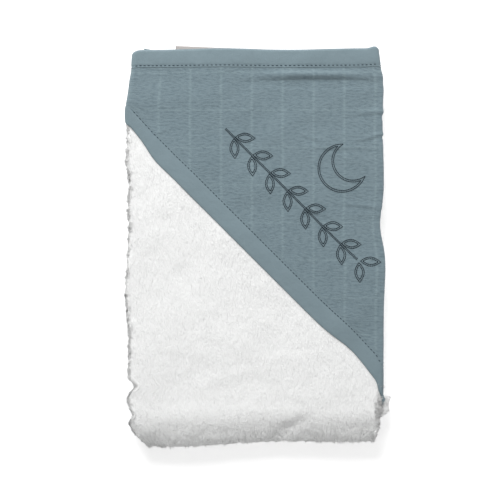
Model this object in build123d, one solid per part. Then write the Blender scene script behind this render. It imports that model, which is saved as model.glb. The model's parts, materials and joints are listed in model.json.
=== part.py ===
from build123d import *

import math
import os

# Hooded baby towel, folded: in thirds across its width, then in half along its length.
#
# Frame: +X runs across the folded towel, +Y towards its bound top edge, +Z up, with the hood's face on
# top. The origin is the middle of the folded towel's footprint, on the surface that it lies on. In mm.
#
# The terry square is one cloth. Here it is three nodes that meet at the last fold made, the one along
# the bottom edge: a back half that lies on the table, a front half that opens like a book's cover about
# the middle of that fold, and the bend between them. Heights are counted from the plane where the two
# halves meet, and the back half is the front half mirrored in that plane.

# The terry cloth and how it is folded
terry = 3.0  # thickness of one layer
turn_x = 123.5  # where the side folds begin to turn, from the middle
column_1 = 12.65  # height of the middle of each layer: the outer third,
tuck = 9.55  # its margin, turned under at the right,
column_2 = {"left": 7.9, "right": 5.0}  # the second third, which slopes,
column_3 = {"left": 2.9, "right": 1.9}  # and the inner third
tuck_end = 104.0
column_3_end = -116.0
fold_y = -184.0  # the line that the front half turns about
front_top = 199.0
back_top = 194.0
hinge_gap = 0.3
half_height = column_1 + terry / 2  # from the parting plane to the outer face

# The tape that binds the towel's four edges
tape = 0.4
tape_width = 19.0
tape_nose = 0.6
bound_terry = 1.5  # the cloth is pressed to this inside the tape
bound_outside = bound_terry + 2 * tape
cut_over = 1.0  # how far a cutting shape runs past what it cuts

# The hood: a double layer of muslin, sewn over one corner, with its free edge taped
muslin = 0.55
hood_clearance = 0.05
cover_tape = 0.35
hem_tape = 0.4
hem_width = 20.0
hem_nose = 0.6
diagonal_at_0 = -14.0  # the free edge crosses X = 0 at this Y, and runs at 45 degrees
hood_under_right = 119.0  # the hood ends here under the tuck,
hood_under_left = -20.0  # and at most here behind the left fold
lining_off = terry / 2 + hood_clearance + muslin / 2
panel_off = lining_off + muslin
cover_off = panel_off + muslin / 2 + cover_tape / 2
hood_top = column_1 + panel_off + muslin / 2
hem_top = column_1 + cover_off + cover_tape / 2

# Sewing thread
stitch_long = 2.8
stitch_pitch = 4.3
stitch_wide = 0.7
stitch_high = 0.3
stitch_inset = 2.0  # from the tape's inner edge
row_from_fold = 4.0  # a row along the top starts and ends this far from the side folds
hem_row_start = 8.0  # and the hem's row starts this far from the left one

# Embroidery: a leafy sprig beside the free edge, and a crescent moon in the corner
thread_wide = 0.9
thread_high = 0.4
sprig_start = (-22.0, 108.0)
leaf_pairs = 8
leaf_pitch = 25.0
leaf_long = 21.0
leaf_wide = 9.0
leaf_angle = 42.0  # between a leaf and the stem
leaf_from_stem = 1.6
stem_angle = -45.0
stem_before = 12.0  # how far the stem runs on before the first pair of leaves
stem_past = -2.0  # and after the last pair
moon_centre = (86.0, 77.0)
moon_radius = 24.0
bite_centre = (0.45 * moon_radius, 0.3 * moon_radius)
bite_radius = 0.8 * moon_radius

# Care label
label_wide = 68.0
label_tall = 30.0
label_leaf = 0.2
label_left_top = (-81.0, 205.5)
label_turn = -2.4
label_row_inset = 3.0  # from the label's lower edge
label_row_start = 4.0  # from its sides
label_level = terry / 2 - column_3["right"]  # the height that the label lies at

far = 400.0
left_radius = (column_1 - column_2["left"]) / 2
tuck_radius = (column_1 - tuck) / 2
right_radius = (column_2["right"] - column_3["right"]) / 2


def strip(x0, z0, x1, z1, wide):
    """A straight stretch of a layer's section, cut square to X at both ends."""
    h = wide / 2
    return make_face(Polyline((x0, z0 - h), (x1, z1 - h), (x1, z1 + h), (x0, z0 + h), close=True))


def turn(x, low, high, side, wide, off=0.0):
    """Half a ring that joins two layers at x. off moves it out from the layers' middle."""
    middle, radius = (low + high) / 2, (high - low) / 2 + off
    ring = Circle(radius + wide / 2)
    inner = radius - wide / 2
    if inner > 0:
        ring -= Circle(inner)
    half = Rectangle(far, far, align=(Align.MIN if side > 0 else Align.MAX, Align.CENTER))
    return Pos(x, middle) * (ring & half)


def sloped(column, x):
    """Height of the middle of a sloping layer at x."""
    share = (x + turn_x) / (2 * turn_x)
    return column["left"] + (column["right"] - column["left"]) * share


def cloth_section(wide, start=tuck_end, end=column_3_end):
    """The folded cloth's section, from the tucked margin round to the inner third's edge."""
    return Sketch() + [
        strip(start, tuck, turn_x, tuck, wide),
        turn(turn_x, tuck, column_1, 1, wide),
        strip(-turn_x, column_1, turn_x, column_1, wide),
        turn(-turn_x, column_2["left"], column_1, -1, wide),
        strip(-turn_x, column_2["left"], turn_x, column_2["right"], wide),
        turn(turn_x, column_3["right"], column_2["right"], 1, wide),
        strip(end, sloped(column_3, end), turn_x, column_3["right"], wide),
    ]


def side_tapes(wide, grow=0.0):
    """The section of what lies along the cloth's two long edges, as far in as the tape reaches."""
    inner_edge = column_3_end + tape_width
    return Sketch() + [
        strip(tuck_end - grow, tuck, tuck_end + tape_width, tuck, wide),
        strip(column_3_end - grow, sloped(column_3, column_3_end), inner_edge,
              sloped(column_3, inner_edge), wide),
    ]


def hood_section(off, wide):
    """The section of one hood layer, which runs round the side folds with the cloth."""
    return Sketch() + [
        strip(hood_under_right, tuck - off, turn_x, tuck - off, wide),
        turn(turn_x, tuck, column_1, 1, wide, off),
        strip(-turn_x, column_1 + off, turn_x, column_1 + off, wide),
        turn(-turn_x, column_2["left"], column_1, -1, wide, off),
        strip(-turn_x, column_2["left"] - off, hood_under_left,
              sloped(column_2, hood_under_left) - off, wide),
    ]


def extruded(profile, y0, y1):
    """A section drawn in X and Z, run from y0 to y1."""
    standing = Plane((0, y0, 0), x_dir=(1, 0, 0), z_dir=(0, -1, 0)) * profile
    return extrude(standing, amount=y1 - y0, dir=(0, 1, 0))


def bent(profile):
    """A section turned through half a circle about the fold line."""
    standing = Plane((0, fold_y, 0), x_dir=(1, 0, 0), z_dir=(0, -1, 0)) * profile
    return revolve(standing, axis=Axis((0, fold_y, 0), (1, 0, 0)), revolution_arc=180)


def mirrored(shape):
    return mirror(shape, about=Plane.XY)


def pressed_section():
    """The cloth's section, full thickness inside and pressed thin where the tape holds its long edges."""
    return cloth_section(terry) - side_tapes(terry + cut_over, grow=cut_over) + side_tapes(bound_terry)


def sides_section():
    """The section of the tape's two leaves and its nose along the long edges."""
    return side_tapes(bound_outside, grow=tape_nose) - side_tapes(bound_terry)


def cloth_half(y0, y1):
    """Half of the folded terry, pressed thin along its top edge as well."""
    return extruded(pressed_section(), y0, y1 - tape_width) + extruded(
        cloth_section(bound_terry), y1 - tape_width, y1 - tape_nose
    )


def binding_half(y0, y1):
    """The edge tape of one half: a folded strip along the top edge and down both long edges."""
    along_top = cloth_section(bound_outside, tuck_end - tape_nose, column_3_end - tape_nose)
    open_edge = along_top - cloth_section(bound_terry)
    return (
        extruded(sides_section(), y0, y1 - tape_width)
        + extruded(open_edge, y1 - tape_width, y1 - tape_nose)
        + extruded(along_top, y1 - tape_nose, y1)
    )


def diagonal(x, inset=0.0):
    """Y of a line parallel to the hood's free edge, inset from it."""
    return diagonal_at_0 - x + inset * math.sqrt(2)


def hood_room(inset=0.0, top=front_top - tape_nose):
    """The space of the hood that lies further than inset from its free edge."""
    side = far / 2
    split = (column_1 + column_2["left"]) / 2
    left, right = diagonal(-turn_x, inset), diagonal(turn_x, inset)
    left_turn, right_turn = math.pi * left_radius, math.pi * tuck_radius
    face = Polyline(
        (-side, left + left_turn / 2), (-turn_x - left_turn / 2, left + left_turn / 2),
        (-turn_x, left), (turn_x, right), (turn_x + right_turn / 2, right - right_turn / 2),
        (side, right - right_turn / 2), (side, top), (-side, top), close=True,
    )
    over = extrude(Pos(0, 0, split) * make_face(face), amount=far)
    rise = top - left - left_turn
    behind = Polyline((-side, left + left_turn / 2), (-turn_x - left_turn / 2, left + left_turn / 2),
                      (-turn_x, left + left_turn), (-turn_x + rise, top), (-side, top), close=True)
    under = extrude(Pos(0, 0, split) * make_face(behind), amount=-far)
    margin = Pos(side / 2, (top + right - right_turn) / 2) * Rectangle(side, top - right + right_turn)
    return over + under + extrude(Pos(0, 0, split) * margin, amount=-far)


def hood_panel():
    return extruded(hood_section(panel_off, muslin), -far / 2, front_top) & hood_room(hem_nose)


def hood_lining():
    lining = extruded(hood_section(lining_off, muslin), -far / 2, front_top)
    return lining & hood_room(hem_width)


def hood_hem():
    """The tape over the free edge: a leaf on each side of the hood and a nose round its edge."""
    below_tape = front_top - tape_width
    band = hood_room(0, below_tape) - hood_room(hem_width, below_tape + cut_over)
    nose = hood_room(0, below_tape) - hood_room(hem_nose, below_tape + cut_over)
    top_leaf = hood_section(cover_off, cover_tape)
    low_leaf = hood_section(lining_off, muslin)
    panel = hood_section(panel_off, muslin)
    return (
        (extruded(top_leaf, -far / 2, front_top) & band)
        + (extruded(low_leaf, -far / 2, front_top) & band)
        + (extruded(panel, -far / 2, front_top) & nose)
    )


def binding_over_hood():
    """The edge tape's outer leaf where it covers the hood, and its nose round the hood's top edge."""
    room = hood_room(0, front_top)
    leaf = extruded(hood_section(cover_off, cover_tape), front_top - tape_width, front_top)
    whole = hood_section((lining_off + panel_off) / 2, 2 * muslin)
    return (leaf & room) + (extruded(whole, front_top - tape_nose, front_top) & room)


def stitch_row(start, step, count, height, along, high=stitch_high):
    """Separate stitches in a row, each lying on the cloth at that height."""
    one = Box(stitch_long, stitch_wide, high, align=(Align.CENTER, Align.CENTER, Align.MIN))
    places = [Pos(start[0] + i * step[0], start[1] + i * step[1], height) for i in range(count)]
    return Compound([place * Rot(0, 0, along) * one for place in places])


def row_along_top(top, height):
    """A row across the face, in the tape along a top edge."""
    count = int(2 * (turn_x - row_from_fold) / stitch_pitch) + 1
    start = (-(count - 1) * stitch_pitch / 2, top - tape_width + stitch_inset)
    return stitch_row(start, (stitch_pitch, 0), count, height, 0)


def hem_stitching():
    step = stitch_pitch * math.sqrt(0.5)
    low_x = -turn_x + hem_row_start
    count = int((turn_x - row_from_fold - low_x) / step)
    start = (low_x, diagonal(low_x, hem_width - stitch_inset))
    return stitch_row(start, (step, -step), count, hem_top, stem_angle)


def leaf(long, wide):
    """A pointed leaf along +X from the origin, where two arcs meet."""
    radius = (long**2 / 4 + wide**2 / 4) / wide
    lower = Pos(long / 2, radius - wide / 2) * Circle(radius)
    upper = Pos(long / 2, wide / 2 - radius) * Circle(radius)
    return lower & upper


def leaf_outline():
    tip = 1.6 * thread_wide
    inside = Pos(tip, 0) * leaf(leaf_long - 2 * tip, leaf_wide - 2 * thread_wide)
    return leaf(leaf_long, leaf_wide) - inside


def crescent(grow=0.0):
    """A moon's crescent, or one whose outline lies that far inside it."""
    return Circle(moon_radius - grow) - Pos(*bite_centre) * Circle(bite_radius + grow)


def embroidery():
    """Thread lines raised on the muslin. No part of it is lettering."""
    sprig = Pos(*sprig_start) * Rot(0, 0, stem_angle)
    stem_long = stem_before + (leaf_pairs - 1) * leaf_pitch + stem_past
    shapes = [sprig * Pos(stem_long / 2 - stem_before, 0) * Rectangle(stem_long, thread_wide)]
    for i in range(leaf_pairs):
        for side in (1, -1):
            leaf_foot = Pos(i * leaf_pitch, 0) * Rot(0, 0, leaf_angle * side) * Pos(leaf_from_stem, 0)
            shapes.append(sprig * leaf_foot * leaf_outline())
    shapes.append(Pos(*moon_centre) * (crescent() - crescent(thread_wide)))
    return extrude(Pos(0, 0, hood_top) * (Sketch() + shapes), amount=thread_high)


def care_label():
    """A ribbon folded double, sewn by its lower edge on the inner layer of the back half."""
    leaves = Box(label_wide, label_tall, 2 * label_leaf, align=(Align.MIN, Align.MAX, Align.MIN))
    return Pos(*label_left_top, label_level) * Rot(0, 0, label_turn) * leaves


def label_stitching():
    """The row that holds the label, near its lower edge."""
    count = int((label_wide - 2 * label_row_start) / stitch_pitch) + 1
    start = (label_row_start, label_row_inset - label_tall)
    row = stitch_row(start, (stitch_pitch, 0), count, 2 * label_leaf, 0, label_leaf)
    return Pos(*label_left_top, label_level) * Rot(0, 0, label_turn) * row


nodes = {
    "terry_front_half": cloth_half(fold_y + hinge_gap, front_top),
    "terry_back_half": mirrored(cloth_half(fold_y, back_top)),
    "terry_fold": bent(pressed_section()),
    "edge_binding_front": binding_half(fold_y + hinge_gap, front_top) + binding_over_hood(),
    "edge_binding_back": mirrored(binding_half(fold_y, back_top)),
    "edge_binding_fold": bent(sides_section()),
    "edge_stitching_front": row_along_top(front_top, hem_top),
    "edge_stitching_back": mirrored(row_along_top(back_top, column_1 + bound_outside / 2)),
    "hood_panel": hood_panel(),
    "hood_lining": hood_lining(),
    "hood_hem_binding": hood_hem(),
    "hood_hem_stitching": hem_stitching(),
    "hood_embroidery": embroidery(),
    "care_label": care_label(),
    "care_label_stitching": label_stitching(),
}

box = Compound(list(nodes.values())).bounding_box()
middle = (box.min + box.max) / 2
to_frame = Pos(-middle.X, -middle.Y, half_height)

os.makedirs("parts", exist_ok=True)
for name, shape in nodes.items():
    solids = (to_frame * shape).solids()
    export_step(solids[0] if len(solids) == 1 else Compound(solids), f"parts/{name}.step")
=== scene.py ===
import json
import math

import bpy
import numpy as np
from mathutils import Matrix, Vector, noise


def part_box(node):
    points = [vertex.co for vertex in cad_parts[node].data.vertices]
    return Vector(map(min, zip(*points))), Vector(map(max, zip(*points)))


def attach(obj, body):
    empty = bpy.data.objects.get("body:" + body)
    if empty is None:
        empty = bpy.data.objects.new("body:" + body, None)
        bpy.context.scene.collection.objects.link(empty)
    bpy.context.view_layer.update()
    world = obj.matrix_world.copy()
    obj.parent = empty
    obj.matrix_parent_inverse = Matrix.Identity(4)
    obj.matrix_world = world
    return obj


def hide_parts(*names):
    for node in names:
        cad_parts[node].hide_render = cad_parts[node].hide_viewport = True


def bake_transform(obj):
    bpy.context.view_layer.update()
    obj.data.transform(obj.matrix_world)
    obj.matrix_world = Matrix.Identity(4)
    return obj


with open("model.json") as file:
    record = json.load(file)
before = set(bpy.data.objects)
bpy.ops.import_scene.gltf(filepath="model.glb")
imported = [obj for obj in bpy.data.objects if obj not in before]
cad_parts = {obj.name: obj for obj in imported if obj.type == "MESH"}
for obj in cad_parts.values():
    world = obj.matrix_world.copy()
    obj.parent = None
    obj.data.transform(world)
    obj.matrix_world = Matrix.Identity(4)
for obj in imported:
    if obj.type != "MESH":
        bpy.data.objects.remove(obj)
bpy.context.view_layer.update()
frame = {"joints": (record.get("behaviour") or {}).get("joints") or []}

# --- Terry towel -------------------------------------------------------------------------------
# One square of white plush towelling, folded in thirds across its width, with a margin turned
# under at the right, and then in half along its length. It is made flat, with X running in from
# the margin's edge, Y down from the top edge and Z up out of its face, and fold() lays it up.
mm = 0.001
terry_thick = 3 * mm
fold_line = frame["joints"][0]["pos_m"][1]
top_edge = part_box("edge_binding_front")[1].y
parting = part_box("terry_fold")[1].z / 2
front_long = top_edge - fold_line
bend_long = 26 * mm
back_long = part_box("edge_binding_back")[1].y - fold_line
towel_long = front_long + bend_long + back_long
half_bend = front_long + bend_long / 2
# Height of the face's layer above the parting plane between the halves, and the least that any
# other point keeps off that plane
face_height = parting - terry_thick / 2
clear_of_parting = 0.5 * mm
# The section across the folds, from the margin's edge: each stretch's length in millimetres and
# the angle that it turns through
stretches = [
    (19.5, 0),  # the margin, under the face
    (4.87, 180),  # round the right fold
    (247, 0),  # the face
    (7.44, 179.33),  # round the left fold
    (247, 0),  # the second third, which slopes
    (4.86, -179.56),  # back round at the right
    (239.5, 0),  # the inner third
]
section_start = (104.4 * mm, 9.55 * mm)
towel_wide = sum(length for length, angle in stretches) * mm
margin_turn, face_start, face_end, left_turn_end, right_turn, inner_start = (
    np.cumsum([length for length, angle in stretches])[:6] * mm
)


def laid_section():
    """How far along the section each sample is, its X, its height and its heading."""
    step = 0.0625 * mm
    headings = []
    heading = 0.0
    for length, angle in stretches:
        count = round(length * mm / step)
        turned = heading + math.radians(angle) * (np.arange(count) + 0.5) / count
        headings.append(turned)
        heading += math.radians(angle)
    headings = np.concatenate(headings)
    step = towel_wide / len(headings)
    along = (np.arange(len(headings)) + 0.5) * step
    x = section_start[0] + np.cumsum(np.cos(headings)) * step
    height = section_start[1] + np.cumsum(np.sin(headings)) * step
    return along, x, height, headings


section = laid_section()


def ramp(value, low, high):
    """0 below low and 1 above high, eased between."""
    t = np.clip((value - low) / (high - low), 0, 1)
    return t * t * (3 - 2 * t)


def hump(value, middle, wide):
    """A smooth bump of height 1 at the middle."""
    return np.exp(-(((value - middle) / wide) ** 2))


def waves(x, y, scale, seed):
    """Smooth noise from -1 to 1 at each point, with lumps of about that scale."""
    at = np.column_stack((x / scale + 7.3 * seed, y / scale - 3.1 * seed, np.full(len(x), seed + 0.5)))
    return np.array([noise.noise(Vector(p)) for p in at])


# Dents and bulges of the sides: distance from the top edge, half length, and how far they stand out
left_bumps = [(0.112, 0.012, 3), (0.180, 0.020, -2.2), (0.3385, 0.0055, -7.5), (0.365, 0.007, -4.5)]
right_bumps = [(0.178, 0.022, -4)]


def outline(x, v, height):
    """How far the bundle's sides stray from straight at each point, outwards positive."""
    inner = 1 - np.clip(height / face_height, 0, 1)
    front = 1 - ramp(v, half_bend - 2 * mm, half_bend + 8 * mm)
    left = (1.3 * np.sin(v / 0.031 + 0.6) + 0.8 * np.sin(v / 0.0135 + 2.0) + 1.3) * front
    left += (1.2 * np.sin(v / 0.04) - 1.5) * (1 - front)
    left += sum(out * hump(v, middle, reach) for middle, reach, out in left_bumps)
    left -= 7 * (1 - ramp(v, 0, 0.065)) - 5 * inner * hump(v, 0.365, 0.01)
    right = (1.0 * np.sin(v / 0.038 + 2.4) + 0.4 * np.sin(v / 0.015) + 0.8) * front
    right += sum(out * hump(v, middle, reach) for middle, reach, out in right_bumps)
    right -= 1.5 * (1 - front) + 3.0 * ramp(v, 0.346, 0.360) + 6 * (1 - ramp(v, 0, 0.045))
    # The inner layers stand out in a lump near the bottom of the right fold.
    right += 13 * inner * (ramp(v, 0.348, 0.352) - ramp(v, 0.366, 0.376))
    return np.where(x < 0, left, right) * mm


def lie(x, v, height):
    """Folded points, from X, length along the towel and height above the parting plane."""
    x, v, height = np.array(x), np.array(v), np.array(height)
    # The bundle is thicker here and thinner there, with a few soft creases and dents.
    swell = 0.09 * waves(x, v, 0.045, 1) + 0.055 * waves(x, v, 0.021, 2)
    swell -= 0.28 * hump(x, 0.030, 0.022) * hump(v + 0.5 * x, 0.399, 0.007)
    swell += 0.06 * hump(x, -0.05, 0.03) * hump(v, 0.370, 0.02)
    swell -= 0.05 * hump(x, -0.073, 0.02) * hump(v + 0.5 * x, 0.188, 0.010)
    swell -= 0.045 * hump(x, 0.048, 0.022) * hump(v + 0.1 * x, 0.3056, 0.0035)
    swell += 0.05 * hump(x, -0.027, 0.045) * hump(v + 0.3 * x, 0.320, 0.007)
    front = 1 - ramp(v, half_bend - 8 * mm, half_bend)
    height = np.maximum(height * (1 + front * swell), clear_of_parting)
    x += np.sign(x) * (abs(x) / (125 * mm)) ** 3 * outline(x, v, height)
    # The front of the bend is twice as long as it is high, and the back of it is round.
    uneven = 10 * mm * waves(x, v, 0.020, 6) * ramp(v, 0.345, 0.365) * (1 - ramp(v, 0.380, 0.394))
    slack = np.clip((v - front_long + height + uneven) / height, 0, 1)
    turned = np.clip((v - front_long) / bend_long, 0, 1)
    angle = turned * math.pi
    early = v < half_bend
    angle = np.where(early, np.arcsin(slack / 2) + angle * 2 / 3, angle)
    reach = np.where(early, 2 * height * np.sin(angle) - height * slack, height * np.sin(angle))
    y = np.where(v < front_long, top_edge - v, fold_line)
    reach = np.where(v < front_long, 0, reach)
    y = np.where(v > front_long + bend_long, fold_line + v - front_long - bend_long, y)
    rise = height * np.where(early, np.maximum(np.cos(angle), 0) ** 0.6, np.cos(angle))
    y = y - reach
    # The bottom corners draw in, the left one more.
    across = x / (125 * mm)
    corner = np.clip((-0.180 - y) / (19 * mm), 0, 1) ** 1.2
    x -= across * abs(across) ** 3 * np.where(x < 0, 17 * mm, 5 * mm) * corner
    # The left one also slopes away outside a slanted line.
    outside = 0.92 * (-0.1218 - x) + 0.393 * (-0.1752 - y)
    slope = 0.6 * early * ramp(outside, 0, 8 * mm) * ramp(-y, 0.170, 0.180)
    rise = np.maximum(rise * (1 - slope), np.minimum(rise, clear_of_parting))
    # The bottom and the top edge wander, and the top corners stand up or drop.
    low = ramp(-y, 0.140, 0.186)
    y = y + (1.2 * np.sin(x / 0.030 + 1.0) + 3.2 * across + 0.6) * mm * low
    high = ramp(y, 0.165, 0.197)
    y -= (0.7 * np.sin(x / 0.022) + 0.9) * mm * high
    y -= 4.5 * mm * hump(x, -0.128, 0.008) * high * np.clip(height / face_height, 0, 1)
    y += 2.0 * mm * hump(x, 0.119, 0.005) * high
    y += 4.2 * mm * hump(x, -0.109, 0.006) * high * (1 - ramp(height, 4 * mm, 7 * mm))
    return np.column_stack((x, y, parting + rise))


def fold(flat):
    """Lays the points of a flat piece up as the towel is folded."""
    u, v, h = -flat[:, 0], -flat[:, 1], flat[:, 2]
    along, x, height, heading = section
    turned = np.interp(u, along, heading)
    x = np.interp(u, along, x) + h * np.sin(turned)
    height = np.interp(u, along, height) - h * np.cos(turned)
    return lie(x, v, height)


def points(obj):
    co = np.empty(len(obj.data.vertices) * 3)
    obj.data.vertices.foreach_get("co", co)
    return co.reshape(-1, 3)


def move_to(obj, co):
    obj.data.vertices.foreach_set("co", np.ascontiguousarray(co, dtype=np.float32).ravel())
    obj.data.update()


def flat_grid(name, columns, rows):
    """A flat cloth with a vertex at each column's X and each row's Y, and its cut size as its UV map."""
    bpy.ops.object.select_all(action="DESELECT")
    bpy.ops.mesh.primitive_grid_add(
        x_subdivisions=len(columns) - 1, y_subdivisions=len(rows) - 1, size=1, calc_uvs=True
    )
    obj = bpy.context.object
    obj.name = obj.data.name = name
    co = points(obj)
    column = np.interp(co[:, 0], np.linspace(-0.5, 0.5, len(columns)), columns)
    row = np.interp(co[:, 1], np.linspace(-0.5, 0.5, len(rows)), rows)
    move_to(obj, np.column_stack((column, row, co[:, 2])))
    corners = np.empty(len(obj.data.loops), dtype=int)
    obj.data.loops.foreach_get("vertex_index", corners)
    obj.data.uv_layers[0].data.foreach_set("uv", points(obj)[corners, :2].astype(np.float32).ravel())
    return obj


def thicken(obj, thickness):
    """Gives a flat cloth its thickness, half to each side."""
    solid = obj.modifiers.new("thickness", "SOLIDIFY")
    solid.thickness = thickness
    solid.offset = 0
    bpy.context.view_layer.objects.active = obj
    bpy.ops.object.modifier_apply(modifier=solid.name)


def spaced(*runs):
    """Positions along a line: each run is its start, its end and about how far apart they are."""
    parts = [np.linspace(a, b, max(2, round(abs(b - a) / gap)), endpoint=False) for a, b, gap in runs]
    return np.concatenate(parts + [[runs[-1][1]]])


def finish_mesh(obj, material):
    obj.data.materials.clear()
    obj.data.materials.append(material)
    for polygon in obj.data.polygons:
        polygon.use_smooth = True
    return obj


# Rows and columns are close where the cloth bends and shows, and far apart in the hidden layers.
hood_hides = 70 * mm
by_hinge = 0.03 * bend_long
bend_end = front_long + bend_long
towel_columns = -spaced(
    (0, margin_turn, 4 * mm), (margin_turn, face_start, 0.6 * mm), (face_start, face_end, 2.1 * mm),
    (face_end, left_turn_end, 0.75 * mm), (left_turn_end, right_turn, 12 * mm),
    (right_turn, inner_start, 0.6 * mm), (inner_start, towel_wide, 12 * mm),
)[::-1]
towel_rows = -spaced(
    (1.5 * mm, hood_hides, 6 * mm), (hood_hides, front_long, 2.1 * mm),
    (front_long, half_bend - by_hinge, 0.7 * mm), (half_bend - by_hinge, half_bend + by_hinge, 0.1 * mm),
    (half_bend + by_hinge, bend_end, 0.7 * mm), (bend_end, towel_long, 9 * mm),
)[::-1]


def lumpy(x, y):
    """The cloth's thickness at each flat point as a share of its own, uneven where a fold loosens it."""
    off_fold = np.minimum(abs(-x - face_start + 1 * mm), abs(-x - face_end - 3 * mm))
    by_bend = ramp(-y, front_long - 14 * mm, front_long + 4 * mm)
    loose = np.maximum(1 - ramp(off_fold, 3 * mm, 9 * mm), by_bend)
    locks = 0.9 * (0.3 - abs(waves(x, y, 0.0055, 4)))
    return 1 + (0.12 + 0.35 * loose) * waves(x, y, 0.007, 3) + loose * locks


bound_share = 0.5
towel = flat_grid("terry_towel", towel_columns, towel_rows)
thicken(towel, terry_thick)
towel_flat = points(towel)
from_edge = np.minimum.reduce([
    -towel_flat[:, 0], towel_wide + towel_flat[:, 0], -towel_flat[:, 1], towel_long + towel_flat[:, 1]
])
free = ramp(from_edge, 17 * mm, 24 * mm)
towel_flat[:, 2] *= bound_share + free * (lumpy(towel_flat[:, 0], towel_flat[:, 1]) - bound_share)
# The cut edge is squeezed thin inside the tape's rounded nose.
towel_flat[:, 2] *= np.clip(from_edge / (3 * mm), 0.1, 1)
move_to(towel, fold(towel_flat))


def new_material(name, roughness, sheen=0.0, soft_inside=0.0):
    """A cloth or thread finish. soft_inside is how much of the light goes in and spreads."""
    material = bpy.data.materials.new(name)
    material.use_nodes = True
    shader = material.node_tree.nodes["Principled BSDF"]
    shader.inputs["Roughness"].default_value = roughness
    shader.inputs["Specular IOR Level"].default_value = 0.2
    shader.inputs["Sheen Weight"].default_value = sheen
    shader.inputs["Sheen Roughness"].default_value = 0.6
    if soft_inside:
        shader.inputs["Subsurface Weight"].default_value = soft_inside
        shader.inputs["Subsurface Radius"].default_value = (1, 1, 1)
        shader.inputs["Subsurface Scale"].default_value = 3 * mm
    return material, material.node_tree, shader


def add(tree, kind, **values):
    """A node with its input sockets set by name."""
    node = tree.nodes.new(kind)
    for key, value in values.items():
        node.inputs[key.replace("_", " ")].default_value = value
    return node


def math_node(tree, operation, *values):
    """The output of a Math node, fed by sockets or plain numbers."""
    node = tree.nodes.new("ShaderNodeMath")
    node.operation = operation
    for socket, value in zip(node.inputs, values):
        if hasattr(value, "links"):
            tree.links.new(value, socket)
        else:
            socket.default_value = value
    return node.outputs["Value"]


def spots_on(tree, place, scale, detail, roughness=0.6):
    """The output of a noise texture laid over that place."""
    spots = add(tree, "ShaderNodeTexNoise", Scale=scale, Detail=detail, Roughness=roughness)
    tree.links.new(place, spots.inputs["Vector"])
    return spots.outputs["Fac"]


def bump(tree, height, distance, under=None):
    """The normal of a surface raised by that height, on top of another bump."""
    node = add(tree, "ShaderNodeBump", Strength=1.0, Distance=distance)
    tree.links.new(height, node.inputs["Height"])
    if under:
        tree.links.new(under, node.inputs["Normal"])
    return node.outputs["Normal"]


def linear(red, green, blue):
    """An sRGB colour from 0 to 255 as the shader wants it."""
    parts = [c / 255 for c in (red, green, blue)]
    return [c / 12.92 if c <= 0.04045 else ((c + 0.055) / 1.055) ** 2.4 for c in parts] + [1.0]


def mottled(tree, place, dark, light, scale, detail=3.0, contrast=1.0):
    """A colour that drifts between two shades."""
    spread = add(tree, "ShaderNodeMapRange", From_Min=0.5 - 0.5 / contrast, From_Max=0.5 + 0.5 / contrast)
    tree.links.new(spots_on(tree, place, scale, detail), spread.inputs["Value"])
    blend = tree.nodes.new("ShaderNodeMix")
    blend.data_type = "RGBA"
    blend.inputs["A"].default_value = dark
    blend.inputs["B"].default_value = light
    tree.links.new(spread.outputs["Result"], blend.inputs["Factor"])
    return blend.outputs["Result"]


def tint_or_painted_shade(tree, colour, tint, share):
    """A colour with another mixed in where the share is above 0, a real tint or painted shade."""
    blend = tree.nodes.new("ShaderNodeMix")
    blend.data_type = "RGBA"
    blend.inputs["B"].default_value = tint
    tree.links.new(colour, blend.inputs["A"])
    tree.links.new(share, blend.inputs["Factor"])
    return blend.outputs["Result"]


terry_material, tree, shader = new_material("terry", 1.0, 0.4, soft_inside=0.35)
place = tree.nodes.new("ShaderNodeTexCoord").outputs["Object"]
cut_size = tree.nodes.new("ShaderNodeUVMap").outputs["UV"]
nap = tree.nodes.new("ShaderNodeMapping")
nap.inputs["Scale"].default_value = (1, 0.3, 1)
tree.links.new(cut_size, nap.inputs["Vector"])
fuzz = spots_on(tree, nap.outputs["Vector"], 1100, 3, 0.65)
lumps = spots_on(tree, nap.outputs["Vector"], 300, 3)
clumps = spots_on(tree, cut_size, 330, 4, 0.7)
# Round the bend the pile opens in clumps, raised by a bump, and painted shade greys the hollows between
# them.
down_cloth = tree.nodes.new("ShaderNodeSeparateXYZ")
tree.links.new(cut_size, down_cloth.inputs["Vector"])
off_bend = math_node(tree, "ABSOLUTE", math_node(tree, "ADD", down_cloth.outputs["Y"], half_bend))
opened = add(tree, "ShaderNodeMapRange", From_Min=42 * mm, From_Max=4 * mm)
opened.interpolation_type = "SMOOTHSTEP"
tree.links.new(off_bend, opened.inputs["Value"])
by_bend = opened.outputs["Result"]
clump_shade = add(tree, "ShaderNodeMapRange", From_Min=0.54, From_Max=0.34, To_Max=0.22)
tree.links.new(clumps, clump_shade.inputs["Value"])
ground = mottled(tree, place, linear(247, 248, 247), linear(253, 254, 253), 90)
painted_clump_shade = math_node(tree, "MULTIPLY", clump_shade.outputs["Result"], by_bend)
# Painted shade: a grey mixed into the cloth's colour between the clumps, round the bend.
tree.links.new(tint_or_painted_shade(tree, ground, linear(150, 151, 150), painted_clump_shade), shader.inputs["Base Color"])
raised = bump(tree, math_node(tree, "MULTIPLY", by_bend, clumps), 6 * mm)
raised = bump(tree, lumps, 2.1 * mm, raised)
tree.links.new(bump(tree, fuzz, 1.4 * mm, raised), shader.inputs["Normal"])
finish_mesh(towel, terry_material)
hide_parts("terry_back_half", "terry_front_half", "terry_fold")
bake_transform(towel)

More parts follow.
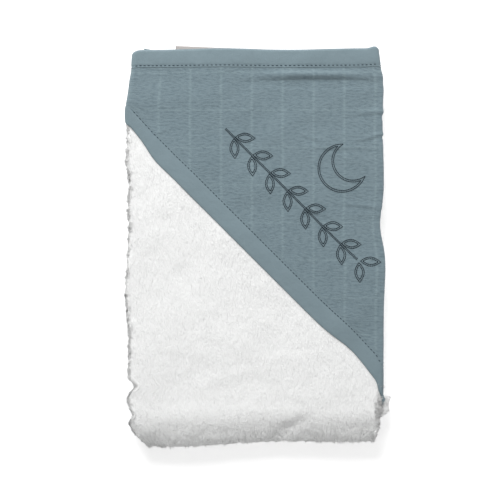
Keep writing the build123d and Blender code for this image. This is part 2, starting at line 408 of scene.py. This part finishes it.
# --- Terry pile --------------------------------------------------------------------------------
# The towelling's cut loops, which make its face soft and its outline fuzzy. Each tuft is a small
# leaning cone rooted in the cloth.
tuft_wide = 0.65 * mm
tuft_tall = 1.8 * mm
pile_edge = 20 * mm
hood_covers = 351 * mm  # of the face, X and Y from the corner added together
pile_material, tree, shader = new_material("terry_pile", 1.0, 0.4, soft_inside=0.5)
place = tree.nodes.new("ShaderNodeTexCoord").outputs["Object"]
# Painted shade: the tufts' colour drifts in patches from pale grey to white, standing in for the shadows
# between clumps of tufts.
colour = mottled(tree, place, linear(214, 215, 214), linear(254, 254, 253), 330, contrast=3.0)
tree.links.new(colour, shader.inputs["Base Color"])


def stamp(name, model, feet, ahead, aside, up):
    """One mesh of copies of a small model, each with its foot and its three directions given."""
    shape = points(model)
    count, size = len(feet), len(shape)
    co = (feet[:, None, :] + shape[None, :, 0:1] * ahead[:, None, :]
          + shape[None, :, 1:2] * aside[:, None, :] + shape[None, :, 2:3] * up[:, None, :])
    faces = np.array([list(p.vertices) for p in model.data.polygons])
    faces = (faces[None, :, :] + np.arange(count)[:, None, None] * size).reshape(-1, faces.shape[1])
    mesh = bpy.data.meshes.new(name)
    mesh.from_pydata(co.reshape(-1, 3).tolist(), [], faces.tolist())
    obj = bpy.data.objects.new(name, mesh)
    bpy.context.collection.objects.link(obj)
    bpy.data.objects.remove(model)
    return obj


def in_triangles():
    """Cuts the active model's faces into triangles."""
    bpy.ops.object.mode_set(mode="EDIT")
    bpy.ops.mesh.select_all(action="SELECT")
    bpy.ops.mesh.quads_convert_to_tris()
    bpy.ops.object.mode_set(mode="OBJECT")
    return bpy.context.object


def tuft_spots(rng, u_range, v_range, gap):
    """Uneven places over a stretch of the flat cloth, about that far apart."""
    u = np.arange(u_range[0], u_range[1], gap)
    v = np.arange(v_range[0], v_range[1], gap)
    u, v = [a.ravel() for a in np.meshgrid(u, v)]
    return u + rng.uniform(-0.5, 0.5, len(u)) * gap, v + rng.uniform(-0.5, 0.5, len(v)) * gap


def unit(vectors):
    return vectors / np.linalg.norm(vectors, axis=1)[:, None]


def pile(name, u, v, side, rng, wide, tall):
    """Tufts at those places of the flat cloth, on its face (side 1) or its back (side -1)."""
    bpy.ops.object.select_all(action="DESELECT")
    bpy.ops.mesh.primitive_cone_add(vertices=3, radius1=0.5, radius2=0, depth=1, location=(0, 0, 0.3))
    bpy.ops.object.transform_apply(location=True)
    cone = in_triangles()
    corners = len(cone.data.vertices)
    level = side * terry_thick / 2 * lumpy(-u, -v)
    foot = fold(np.column_stack((-u, -v, level)))
    out = unit(fold(np.column_stack((-u, -v, level + side * 0.5 * mm))) - foot)
    # Each leans its own way, and all of them a little down the towel.
    up = unit(out + rng.normal(0, 0.45, (len(u), 3)) + np.array([0, -0.5, 0]))
    ahead = unit(np.cross(up, rng.normal(0, 1, (len(u), 3))))
    aside = np.cross(up, ahead)
    size = rng.uniform(0.7, 1.3, (len(u), 1))
    locks = np.clip(0.75 + 1.8 * waves(u, v, 0.003, 5), 0.15, 1.9)[:, None]
    obj = stamp(name, cone, foot, ahead * wide * size, aside * wide * size, up * tall * size * locks)
    # None crosses the parting plane or sinks into what the towel lies on.
    co = points(obj)
    off = co[:, 2] - parting
    half = np.where(foot.repeat(corners, axis=0)[:, 2] < parting, -1, 1)
    pressed = half * np.maximum(abs(off), clear_of_parting)
    co[:, 2] = np.maximum(parting + np.where(co[:, 1] > fold_line, pressed, off), -0.3 * mm)
    move_to(obj, co)
    finish_mesh(obj, pile_material)
    # They are shaded like the cloth that they stand on, with the clumps' lights and darks.
    own = np.empty(len(co) * 3)
    obj.data.vertices.foreach_get("normal", own)
    tangle = np.column_stack([waves(u, v, 0.0032, seed) for seed in (20, 21, 22)])
    shared = 0.8 * out + 1.3 * tangle + np.array([0, 0, 0.35])
    shown = unit(shared.repeat(corners, axis=0) + 0.3 * own.reshape(-1, 3))
    obj.data.normals_split_custom_set_from_vertices(shown.tolist())
    return obj


rng = np.random.default_rng(5)
across_face = (margin_turn, left_turn_end + 4 * mm)
front_end = half_bend + 6 * mm
back_end = towel_long - pile_edge
u, v = tuft_spots(rng, across_face, (pile_edge, front_end), 0.66 * mm)
off_fold = np.minimum(abs(u - face_start + 2 * mm), abs(u - face_end - 4 * mm))
at_fold = 1 - ramp(off_fold, 1 * mm, 5 * mm)
chance = np.maximum(at_fold, 0.4 * ramp(v, half_bend - 5 * mm, half_bend))
open_face = (u + v > hood_covers) & (rng.uniform(0, 1, len(u)) < chance)
fold_wide = tuft_wide * (1 + 1.2 * at_fold[open_face, None])
front_pile = pile("terry_pile_front", u[open_face], v[open_face], 1, rng, fold_wide, 1.2 * tuft_tall)
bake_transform(front_pile)
u, v = tuft_spots(rng, across_face, (front_end, back_end), 1.9 * mm)
back_pile = pile("terry_pile_back", u, v, 1, rng, 2 * tuft_wide, tuft_tall)
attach(back_pile, "back_half")
u, v = tuft_spots(rng, (right_turn - 2 * mm, inner_start + 2 * mm), (pile_edge, back_end), 0.8 * mm)
side_pile = pile("terry_pile_side", u, v, -1, rng, 1.2 * tuft_wide, tuft_tall)
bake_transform(side_pile)

# --- Edge binding ------------------------------------------------------------------------------
# Blue-grey plain-weave tape, folded over all four of the towel's edges, and over the hood's two
# sewn edges with them. A row of stitches near its inner edge holds it.
tape_wide = 19 * mm
tape_thick = 0.35 * mm
bound_leaf = 0.95 * mm
over_hood = 2.83 * mm
hood_leg = 361 * mm
binding_seam = 17 * mm
thread_apart = 0.42 * mm


def shade(name):
    """A node group that reads a flat piece's UV map in metres and puts out one height or mask."""
    group = bpy.data.node_groups.new(name, "ShaderNodeTree")
    group.interface.new_socket("Height", in_out="OUTPUT", socket_type="NodeSocketFloat")
    out = group.nodes.new("NodeGroupOutput")
    uv = group.nodes.new("ShaderNodeUVMap")
    return group, uv.outputs["UV"], out.inputs["Height"]


plain_weave, uv, out = shade("plain_weave")
apart = plain_weave.nodes.new("ShaderNodeSeparateXYZ")
plain_weave.links.new(uv, apart.inputs["Vector"])
turns = math.pi / thread_apart
over = math_node(plain_weave, "SINE", math_node(plain_weave, "MULTIPLY", apart.outputs["X"], turns))
under = math_node(plain_weave, "SINE", math_node(plain_weave, "MULTIPLY", apart.outputs["Y"], turns))
plain_weave.links.new(math_node(plain_weave, "MULTIPLY", over, under), out)


def with_group(tree, group):
    """The height that a node group puts out, in this material."""
    node = tree.nodes.new("ShaderNodeGroup")
    node.node_tree = group
    return node.outputs["Height"]


tape_material, tree, shader = new_material("tape", 0.85, 0.1)
place = tree.nodes.new("ShaderNodeTexCoord").outputs["Object"]
colour = mottled(tree, place, linear(118, 136, 143), linear(127, 144, 151), 60)
tree.links.new(colour, shader.inputs["Base Color"])
puckered = bump(tree, spots_on(tree, place, 160, 2, 0.5), 0.6 * mm)
weave = with_group(tree, plain_weave)
tree.links.new(bump(tree, weave, 0.08 * mm, puckered), shader.inputs["Normal"])


def u_tape(name, along, wide, upper, lower, seam, flat_point):
    """A tape folded over an edge and sewn down at the seam. upper and lower give its leaves'
    heights, and flat_point the place for a distance along the edge and one in from it."""
    nose = spaced((-wide, -2.5 * mm, 2 * mm), (-2.5 * mm, 2.5 * mm, 0.5 * mm), (2.5 * mm, wide, 1.1 * mm))
    obj = flat_grid(name, along, nose)
    co = points(obj)
    run, across = co[:, 0], co[:, 1]
    inward = abs(across)
    top, bottom = upper(run), lower(run)
    middle, half = (top + bottom) / 2, (top - bottom) / 2
    round_part = np.clip(inward / (2.2 * mm), 0, 1)
    height = middle + np.sign(across) * half * np.sin(round_part * math.pi / 2)
    puff = 0.35 * mm * np.sin(np.clip(inward / seam, 0, 1) * math.pi)
    pinch = 0.55 * mm * hump(inward, seam, 1.0 * mm) * (1 + 0.5 * waves(run, across, 0.004, 9))
    height += np.where(across > 0, (puff - pinch) * (top > 2 * mm), 0)
    flat = flat_point(run, inward)
    move_to(obj, np.column_stack((flat[0], flat[1], height)))
    thicken(obj, tape_thick)
    return obj


def under_hood(distance):
    return 1 - ramp(distance, hood_leg - 12 * mm, hood_leg - 5 * mm)


def hood_leaf(distance):
    return bound_leaf + (over_hood - bound_leaf) * under_hood(distance)


def low_leaf(distance):
    return np.full(len(distance), -bound_leaf)


def plain_leaf(distance):
    return np.full(len(distance), bound_leaf)


side_start = tape_wide + 0.5 * mm
bind_columns = -towel_columns[::-1]
bind_columns = np.unique(np.concatenate((bind_columns, spaced((face_start, face_end, 1.6 * mm)))))
bind_rows = -towel_rows[::-1]
bind_rows = bind_rows[(bind_rows > side_start) & (bind_rows < towel_long - side_start)]
strips = [
    u_tape("edge_binding", bind_columns, tape_wide, hood_leaf, low_leaf, binding_seam,
           lambda run, inward: (-run, -inward)),
    u_tape("far_strip", -bind_columns[::-1], tape_wide, plain_leaf, low_leaf, binding_seam,
           lambda run, inward: (run, inward - towel_long)),
    u_tape("margin_strip", -bind_rows[::-1], tape_wide, lambda run: hood_leaf(-run), low_leaf, binding_seam,
           lambda run, inward: (-inward, run)),
    u_tape("inner_strip", bind_rows, tape_wide, plain_leaf, low_leaf, binding_seam,
           lambda run, inward: (inward - towel_wide, -run)),
]
bpy.ops.object.select_all(action="DESELECT")
for strip in strips:
    strip.select_set(True)
bpy.context.view_layer.objects.active = strips[0]
bpy.ops.object.join()
binding = strips[0]
bpy.ops.object.mode_set(mode="EDIT")
bpy.ops.mesh.select_all(action="SELECT")
bpy.ops.mesh.normals_make_consistent(inside=False)
bpy.ops.object.mode_set(mode="OBJECT")
move_to(binding, fold(points(binding)))
finish_mesh(binding, tape_material)
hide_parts("edge_binding_back", "edge_binding_front", "edge_binding_fold")
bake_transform(binding)

# --- Binding stitches --------------------------------------------------------------------------
# Lockstitches in darker thread along the tape's inner edge. The rows on the outer layers show,
# one on the hood's side and one on the towel's other end.
thread_material, tree, shader = new_material("thread", 0.6, 0.05)
place = tree.nodes.new("ShaderNodeTexCoord").outputs["Object"]
colour = mottled(tree, place, linear(26, 46, 57), linear(44, 66, 78), 900)
tree.links.new(colour, shader.inputs["Base Color"])
ply = add(tree, "ShaderNodeTexWave", Scale=700, Distortion=1.5)
tree.links.new(place, ply.inputs["Vector"])
tree.links.new(bump(tree, ply.outputs["Fac"], 0.1 * mm), shader.inputs["Normal"])


def stitch_model():
    """One stitch, a rounded bead a metre long that its row scales down."""
    bpy.ops.object.select_all(action="DESELECT")
    bpy.ops.mesh.primitive_uv_sphere_add(segments=6, ring_count=4, radius=0.5)
    return in_triangles()


def sew(name, spots, headings, level, long, wide, high, material):
    """Separate stitches at flat places, each lying along its heading at that height on the cloth."""
    flat = np.column_stack((spots, np.broadcast_to(level, len(spots))))
    forward = np.column_stack((np.cos(headings), np.sin(headings), np.zeros(len(spots)))) * 0.1 * mm
    foot = fold(flat)
    ahead = unit(fold(flat + forward) - foot)
    up = fold(flat + np.array([0, 0, 0.1 * mm])) - foot
    up = unit(up - ahead * (up * ahead).sum(axis=1)[:, None])
    obj = stamp(name, stitch_model(), foot, ahead * long, np.cross(up, ahead) * wide, up * high)
    return finish_mesh(obj, material)


pitch = 4.35 * mm
row = np.arange(face_start - 2 * mm, face_end + 2 * mm, pitch)
level_row = np.zeros(len(row))
front_row = sew("binding_row_front", np.column_stack((-row, level_row - binding_seam)), level_row,
                over_hood + 0.05 * mm, 2.6 * mm, 0.85 * mm, 0.6 * mm, thread_material)
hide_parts("edge_stitching_front")
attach(front_row, "front_half")
back_row = sew("binding_row_back", np.column_stack((-row, level_row + binding_seam - towel_long)), level_row,
               bound_leaf + 0.15 * mm, 2.6 * mm, 0.65 * mm, 0.5 * mm, thread_material)
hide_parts("edge_stitching_back")
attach(back_row, "back_half")

# --- Hood panel --------------------------------------------------------------------------------
# Crinkled double-gauze muslin with paler threads woven in as a wide grid. It is sewn over the
# towel's corner, so it goes round both side folds with it.
lining_level = 1.83 * mm
panel_level = 2.38 * mm
muslin_thick = 0.5 * mm
hem_wide = 20 * mm
face_middle = (face_start + face_end) / 2
face_shift = 0.4 * mm
seam_cover = 19 * mm


def face_point(x, y):
    """Flat X and Y of a point on the hood's face, from where it lies on the folded towel."""
    return x - face_middle - face_shift, y - top_edge


# Each crease of the muslin: its middle, half its length, its slope, its height and its width
crease_list = [
    ((0.060, 0.1640), 0.046, 0.00, 3.8 * mm, 4.4 * mm),
    ((0.122, 0.1285), 0.022, 0.05, 1.1 * mm, 3.2 * mm),
    ((0.122, 0.1065), 0.016, 0.28, 0.9 * mm, 2.0 * mm),
    ((0.080, 0.0940), 0.030, -0.02, 0.6 * mm, 2.4 * mm),
    ((0.058, 0.1030), 0.014, -0.35, 0.6 * mm, 2.0 * mm),
    ((0.106, 0.0360), 0.018, -0.10, 0.9 * mm, 2.4 * mm),
    ((0.060, 0.0290), 0.014, -0.30, 0.7 * mm, 2.4 * mm),
    ((-0.098, 0.1080), 0.012, 0.40, 0.4 * mm, 2.5 * mm),
]


def creases(u, v):
    """Height of the creases pressed into the muslin, each a ridge with a groove below it."""
    x, y = face_middle - u, top_edge - v
    rise = np.zeros(len(x))
    for (middle_x, middle_y), reach, slope, high, wide in crease_list:
        along = x - middle_x
        off = y - middle_y - slope * along + 0.25 * along**2
        rise += high * (hump(off, wide, wide) - 0.85 * hump(off, -0.6 * wide, wide)) * hump(along, 0, reach)
    return rise


def crinkle(u, v):
    """Height of the muslin's own crinkle, in three sizes of ripple."""
    small = waves(u * 0.45, v, 0.0035, 12) * 0.12 + waves(u, v, 0.012, 13) * 0.35
    return (small + waves(u * 0.6, v * 1.4, 0.03, 14) * 0.45) * mm


def droop(flat):
    """The hood's free corner hangs down beside the right fold, so its points move along the fold."""
    u, v = -flat[:, 0], -flat[:, 1]
    near = 1 - ramp(hood_leg - u - v, -5 * mm, 45 * mm)
    flat[:, 1] -= near * 26 * mm * (1 - ramp(u, 17 * mm, 29 * mm)) * (v > 0.2)
    flat[:, 1] += near * 6.5 * mm * hump(u, 0.052, 0.020) * (v > 0.2)
    flat[:, 1] += near * 12 * mm * ramp(u, 0.240, 0.277) * (1 - ramp(u, 0.285, 0.315))
    return flat


def hood_cloth(name, columns, level, thickness, short, relief=None):
    """One layer of the hood, cut along the free edge and short of it by that much. relief gives the
    height of its creases and its crinkle at flat points."""
    obj = flat_grid(name, columns, columns)
    bpy.ops.object.mode_set(mode="EDIT")
    bpy.ops.mesh.select_all(action="SELECT")
    cut = -(hood_leg - short * math.sqrt(2)) / 2
    bpy.ops.mesh.bisect(plane_co=(cut, cut, 0), plane_no=(-1, -1, 0), clear_outer=True)
    bpy.ops.object.mode_set(mode="OBJECT")
    co = points(obj)
    co[:, 2] = level
    if relief:
        co[:, 2] += relief(-co[:, 0], -co[:, 1])
    move_to(obj, co)
    thicken(obj, thickness)
    move_to(obj, fold(droop(points(obj))))
    return obj


def panel_relief(u, v):
    """Creases and crinkle, which the tapes along the edges press flat."""
    free = ramp(np.minimum(u, v), seam_cover, seam_cover + 7 * mm) * ramp(hood_leg - u - v, 28 * mm, 38 * mm)
    return creases(u, v) * ramp(v, seam_cover, seam_cover + 5 * mm) + crinkle(u, v) * free


window, uv, out = shade("window_lines")
apart = window.nodes.new("ShaderNodeSeparateXYZ")
window.links.new(uv, apart.inputs["Vector"])


def grid_line(axis, pitch, start, half_width, depth):
    """Lines across one axis of the cloth, every pitch, strongest in their middle."""
    share = half_width / pitch
    turns = math_node(window, "DIVIDE", math_node(window, "SUBTRACT", apart.outputs[axis], start), pitch)
    off = math_node(window, "SUBTRACT", math_node(window, "FRACT", turns), 0.5)
    inside = math_node(window, "SUBTRACT", math_node(window, "ABSOLUTE", off), 0.5 - share)
    edge = math_node(window, "DIVIDE", inside, share)
    return math_node(window, "MULTIPLY", math_node(window, "MAXIMUM", edge, 0.0), depth)


down_lines = grid_line("X", 0.0308, -0.1519, 0.0022, 0.8)
cross_lines = grid_line("Y", 0.0375, -0.062, 0.0016, 0.6)
window.links.new(math_node(window, "MAXIMUM", down_lines, cross_lines), out)

muslin_material, tree, shader = new_material("muslin", 0.95, 0.15)
place = tree.nodes.new("ShaderNodeTexCoord").outputs["Object"]
cut_size = tree.nodes.new("ShaderNodeUVMap").outputs["UV"]
stretch = tree.nodes.new("ShaderNodeMapping")
stretch.inputs["Scale"].default_value = (0.38, 1, 1)
tree.links.new(cut_size, stretch.inputs["Vector"])
ripple = spots_on(tree, stretch.outputs["Vector"], 520, 4)
slub = spots_on(tree, cut_size, 1400, 2)
colour = mottled(tree, place, linear(118, 136, 144), linear(128, 146, 153), 45, 4)
# The grid's threads are paler, and the hollows of the crinkle are darkened by painted shade.
lines = math_node(tree, "MULTIPLY", with_group(tree, window), 0.75)
colour = tint_or_painted_shade(tree, colour, linear(139, 158, 164), lines)
crinkle_shade = math_node(tree, "MAXIMUM", math_node(tree, "SUBTRACT", 0.55, ripple), 0.0)
# Painted shade: a darker blue-grey mixed in where the ripple is low.
colour = tint_or_painted_shade(tree, colour, linear(88, 108, 117), math_node(tree, "MULTIPLY", crinkle_shade, 2.2))
tree.links.new(colour, shader.inputs["Base Color"])
raised = bump(tree, slub, 0.2 * mm, bump(tree, ripple, 1 * mm))
tree.links.new(bump(tree, with_group(tree, plain_weave), 0.1 * mm, raised), shader.inputs["Normal"])

hood_columns = -spaced(
    (2.2 * mm, margin_turn, 3 * mm), (margin_turn, face_start, 0.6 * mm), (face_start, face_end, 1.35 * mm),
    (face_end, left_turn_end, 0.7 * mm), (left_turn_end, hood_leg, 3 * mm),
)[::-1]
panel = hood_cloth("muslin_panel", hood_columns, panel_level, muslin_thick, 2 * mm, panel_relief)
finish_mesh(panel, muslin_material)
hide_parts("hood_panel")
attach(panel, "front_half")

# --- Hood lining -------------------------------------------------------------------------------
# A second layer of the same muslin lies under the panel, against the terry.
lining_columns = -spaced(
    (1 * mm, margin_turn, 4 * mm), (margin_turn, face_start, 0.7 * mm), (face_start, face_end, 4 * mm),
    (face_end, left_turn_end, 0.8 * mm), (left_turn_end, hood_leg, 4 * mm),
)[::-1]
lining = hood_cloth("muslin_lining", lining_columns, lining_level, 0.4 * mm, 3 * mm)
finish_mesh(lining, muslin_material)
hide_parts("hood_lining")
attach(lining, "front_half")

# --- Hem binding -------------------------------------------------------------------------------
# The same tape folded over the hood's free edge, from the top binding round the left fold to a
# point beside the right fold.
corner_gap = 22 * mm
hem_run = hood_leg * math.sqrt(2)
hem_seam = 18.3 * mm


def hem_place(run, inward):
    """Flat point from a distance along the free edge, from its top end, and one in from it."""
    along = run / math.sqrt(2)
    inside = inward / math.sqrt(2)
    return -(hood_leg - along - inside), -(along - inside)


def hem_top(run):
    return np.full(len(run), over_hood)


def hem_low(run):
    return np.full(len(run), lining_level - 0.15 * mm)


hem_spots = spaced((corner_gap, hem_run - corner_gap, 1.0 * mm))
hem = u_tape("hem_binding", hem_spots, hem_wide, hem_top, hem_low, hem_seam, hem_place)
move_to(hem, fold(droop(points(hem))))
finish_mesh(hem, tape_material)
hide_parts("hood_hem_binding")
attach(hem, "front_half")

# --- Hem stitches ------------------------------------------------------------------------------
# One row of the same lockstitch, close to the hem tape's inner edge.
hem_pitch = 3.9 * mm
hem_row_start, hem_row_end = 114 * mm, 488 * mm
hem_row = np.arange(hem_row_start, hem_row_end, hem_pitch)
hem_x, hem_y = hem_place(hem_row, hem_seam)
hem_flat = droop(np.column_stack((hem_x, hem_y, np.zeros(len(hem_row)))))
hem_stitches = sew("hem_row", hem_flat[:, :2], np.full(len(hem_row), -math.pi / 4),
                   over_hood + 0.05 * mm, 2.5 * mm, 0.8 * mm, 0.6 * mm, thread_material)
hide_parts("hood_hem_stitching")
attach(hem_stitches, "front_half")

# --- Embroidery --------------------------------------------------------------------------------
# Outlines in two close rows of short dark stitches: a leafy sprig beside the hem and a crescent
# moon in the corner.
silk_material, tree, shader = new_material("embroidery_thread", 0.5, 0.05)
place = tree.nodes.new("ShaderNodeTexCoord").outputs["Object"]
colour = mottled(tree, place, linear(8, 24, 33), linear(22, 42, 54), 1200)
tree.links.new(colour, shader.inputs["Base Color"])
ply = add(tree, "ShaderNodeTexWave", Scale=900, Distortion=1.0)
tree.links.new(place, ply.inputs["Vector"])
tree.links.new(bump(tree, ply.outputs["Fac"], 0.1 * mm), shader.inputs["Normal"])
leaf_long = 21 * mm
leaf_wide = 9 * mm
leaf_pairs = 8
leaf_pitch = 25 * mm
leaf_angle = math.radians(42)
row_apart = 1.3 * mm
stem_before = 12 * mm
sprig_start = (-21.6 * mm, 106.3 * mm)
moon_centre = (86.4 * mm, 75.3 * mm)
moon_radius = 24 * mm
moon_rows_apart = 1.7 * mm
silk_pitch = 1.75 * mm
silk_reach = 0.3 * mm


def stitched(path, closed=True):
    """Evenly spaced stitch places and headings along a line of points."""
    if closed:
        path = np.vstack((path, path[:1]))
    step = np.linalg.norm(np.diff(path, axis=0), axis=1)
    run = np.concatenate(([0], np.cumsum(step)))
    count = max(3, round(run[-1] / silk_pitch))
    at = (np.arange(count) + 0.5) * run[-1] / count
    before, middle, after = [
        np.column_stack([np.interp(at + off, run, path[:, i]) for i in (0, 1)])
        for off in (-silk_reach, 0, silk_reach)
    ]
    heading = after - before
    return middle, np.arctan2(heading[:, 1], heading[:, 0])


def leaf(long, wide, start):
    """A leaf's outline along X, that far from the stem."""
    t = np.linspace(0, 1, 24)
    swell = wide / 2 * np.sin(math.pi * t) ** 0.9
    side = np.column_stack((start + long * t, swell))
    return np.vstack((side, (side * (1, -1))[-2:0:-1]))


def crescent(outer, bite):
    """A crescent's outline: the outer circle's arc, and back along the circle that is bitten out."""
    middle = (0.45 * moon_radius, 0.3 * moon_radius)
    t = np.linspace(0, 2 * math.pi, 241)
    ring = np.column_stack((np.cos(t), np.sin(t))) * outer
    hole = np.column_stack((np.cos(t), np.sin(t))) * bite + middle
    ring_kept = ring[np.linalg.norm(ring - middle, axis=1) >= bite]
    hole_kept = hole[np.linalg.norm(hole, axis=1) <= outer]
    towards = math.atan2(middle[1], middle[0])
    order = np.argsort((np.arctan2(ring_kept[:, 1], ring_kept[:, 0]) - towards) % (2 * math.pi))
    back = hole_kept - middle
    back_order = np.argsort((np.arctan2(back[:, 1], back[:, 0]) - towards) % (2 * math.pi))
    return np.vstack((ring_kept[order], hole_kept[back_order][::-1]))


def rotated(shape, angle):
    c, s = math.cos(angle), math.sin(angle)
    return shape @ np.array([[c, s], [-s, c]])


silk_spots, silk_headings = [], []


def embroider(path, closed=True):
    """Adds one row of stitches along a line on the hood's face."""
    spots, heading = stitched(path, closed)
    silk_spots.append(np.column_stack(face_point(spots[:, 0], spots[:, 1])))
    silk_headings.append(heading)


down = -math.pi / 4
outer_leaf = leaf(leaf_long - 1.6 * mm, leaf_wide, 1.6 * mm)
inner_leaf = leaf(leaf_long - 6.5 * mm, leaf_wide - 3.2 * mm, 4.0 * mm)
for i in range(leaf_pairs):
    foot = np.array(sprig_start) + i * leaf_pitch * np.array([math.cos(down), math.sin(down)])
    for side in (1, -1):
        embroider(foot + rotated(outer_leaf, down + side * leaf_angle))
        embroider(foot + rotated(inner_leaf, down + side * leaf_angle))
stem = np.linspace(-stem_before, (leaf_pairs - 1) * leaf_pitch - 2 * mm, 60)
for side in (row_apart / 2, -row_apart / 2):
    line = np.column_stack((stem, np.full(len(stem), side)))
    embroider(np.array(sprig_start) + rotated(line, down), closed=False)
bite_radius = 0.8 * moon_radius
embroider(np.array(moon_centre) + crescent(moon_radius, bite_radius))
embroider(np.array(moon_centre) + crescent(moon_radius - moon_rows_apart, bite_radius + moon_rows_apart))
silk_spots, silk_headings = np.vstack(silk_spots), np.concatenate(silk_headings)
silk_u, silk_v = -silk_spots[:, 0], -silk_spots[:, 1]
silk_level = panel_level + muslin_thick / 2 + crinkle(silk_u, silk_v) + creases(silk_u, silk_v)
embroidery = sew("sprig_and_moon", silk_spots, silk_headings, silk_level + 0.2 * mm,
                 1.9 * mm, 0.9 * mm, 0.7 * mm, silk_material)
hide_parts("hood_embroidery")
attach(embroidery, "front_half")

# --- Care label --------------------------------------------------------------------------------
# A blank satin ribbon folded double. Its lower edge is sewn to the inner layer of the back half,
# and its fold stands a little above the towel's top edge.
label_wide = 68 * mm
label_tall = 30 * mm
label_thick = 0.12 * mm
label_corner = (-80.6 * mm, 200.0 * mm)
label_turn = math.radians(-2.4)
satin_material, tree, shader = new_material("satin", 0.38, 0.3)
place = tree.nodes.new("ShaderNodeTexCoord").outputs["Object"]
colour = mottled(tree, place, linear(176, 170, 167), linear(186, 180, 177), 200)
tree.links.new(colour, shader.inputs["Base Color"])
tree.links.new(bump(tree, with_group(tree, plain_weave), 0.05 * mm), shader.inputs["Normal"])


def on_label(x, y, z):
    """Where points of the label lie in the bundle, from their place off its top left corner."""
    c, s = math.cos(label_turn), math.sin(label_turn)
    left, top = label_corner
    return np.column_stack((left + c * x - s * y, top + s * x + c * y, parting - 0.2 * mm + z))


label_rows = spaced(
    (-label_tall, -1 * mm, 2 * mm), (-1 * mm, 1 * mm, 0.2 * mm), (1 * mm, label_tall, 2 * mm)
)
label = flat_grid("ribbon_label", spaced((0, label_wide, 2 * mm)), label_rows)
co = points(label)
leaves_apart = 0.15 * mm * (1 + 0.5 * np.sin(co[:, 0] / 0.012)) * np.clip(abs(co[:, 1]) / mm, 0, 1)
move_to(label, np.column_stack((co[:, 0], -abs(co[:, 1]), leaves_apart * np.sign(co[:, 1]))))
thicken(label, label_thick)
move_to(label, on_label(*points(label).T))
finish_mesh(label, satin_material)
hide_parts("care_label")
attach(label, "back_half")

# --- Label stitches ----------------------------------------------------------------------------
# The row that sews the label down, near its lower edge.
row_inset = 4 * mm
row_above_edge = 3 * mm
label_row = np.arange(row_inset, label_wide - row_inset, pitch)
count = len(label_row)
feet = on_label(label_row, np.full(count, row_above_edge - label_tall), np.full(count, 0.2 * mm))
ahead = np.array([math.cos(label_turn), math.sin(label_turn), 0]) * 2.6 * mm
aside = np.array([-math.sin(label_turn), math.cos(label_turn), 0]) * 0.6 * mm
up = np.array([0, 0, 1]) * 0.4 * mm
ahead, aside, up = [np.tile(one, (count, 1)) for one in (ahead, aside, up)]
label_stitches = stamp("label_row", stitch_model(), feet, ahead, aside, up)
finish_mesh(label_stitches, thread_material)
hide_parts("care_label_stitching")
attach(label_stitches, "back_half")

# --- Stage, light and camera -------------------------------------------------------------------
# The towel lies on a plain white floor, under a big soft light beyond its top edge and a weak one
# from the other side, and the camera looks straight down at it.
bpy.ops.object.select_all(action="DESELECT")
bpy.ops.mesh.primitive_plane_add(size=6, location=(0, 0, -0.0005))
floor = bpy.context.object
floor.name = "floor"
floor_material, tree, shader = new_material("floor", 0.9)
shader.inputs["Base Color"].default_value = (0.97, 0.97, 0.97, 1)
shader.inputs["Emission Color"].default_value = (1, 1, 1, 1)
shader.inputs["Emission Strength"].default_value = 0.3
floor.data.materials.append(floor_material)


def softbox(name, place, size, power):
    """A square area light that faces the towel."""
    bpy.ops.object.light_add(type="AREA", location=place)
    lamp = bpy.context.object
    lamp.name = name
    lamp.data.size = size
    lamp.data.energy = power
    lamp.rotation_euler = (Vector((0, 0, 0)) - Vector(place)).to_track_quat("-Z", "Y").to_euler()


softbox("key", (-0.35, 1.38, 1.15), 0.9, 27.5)
softbox("fill", (0.8, -0.6, 1.8), 1.6, 5)
world = bpy.data.worlds.new("world")
world.use_nodes = True
world.node_tree.nodes["Background"].inputs["Color"].default_value = (1, 1, 1, 1)
world.node_tree.nodes["Background"].inputs["Strength"].default_value = 0.52
bpy.context.scene.world = world

bpy.ops.object.camera_add(location=(-0.0055, -0.0065, 1.2086), rotation=(0, 0, 0))
camera = bpy.context.object
camera.data.lens = 85
bpy.context.scene.camera = camera
bpy.context.scene.view_settings.view_transform = "Standard"
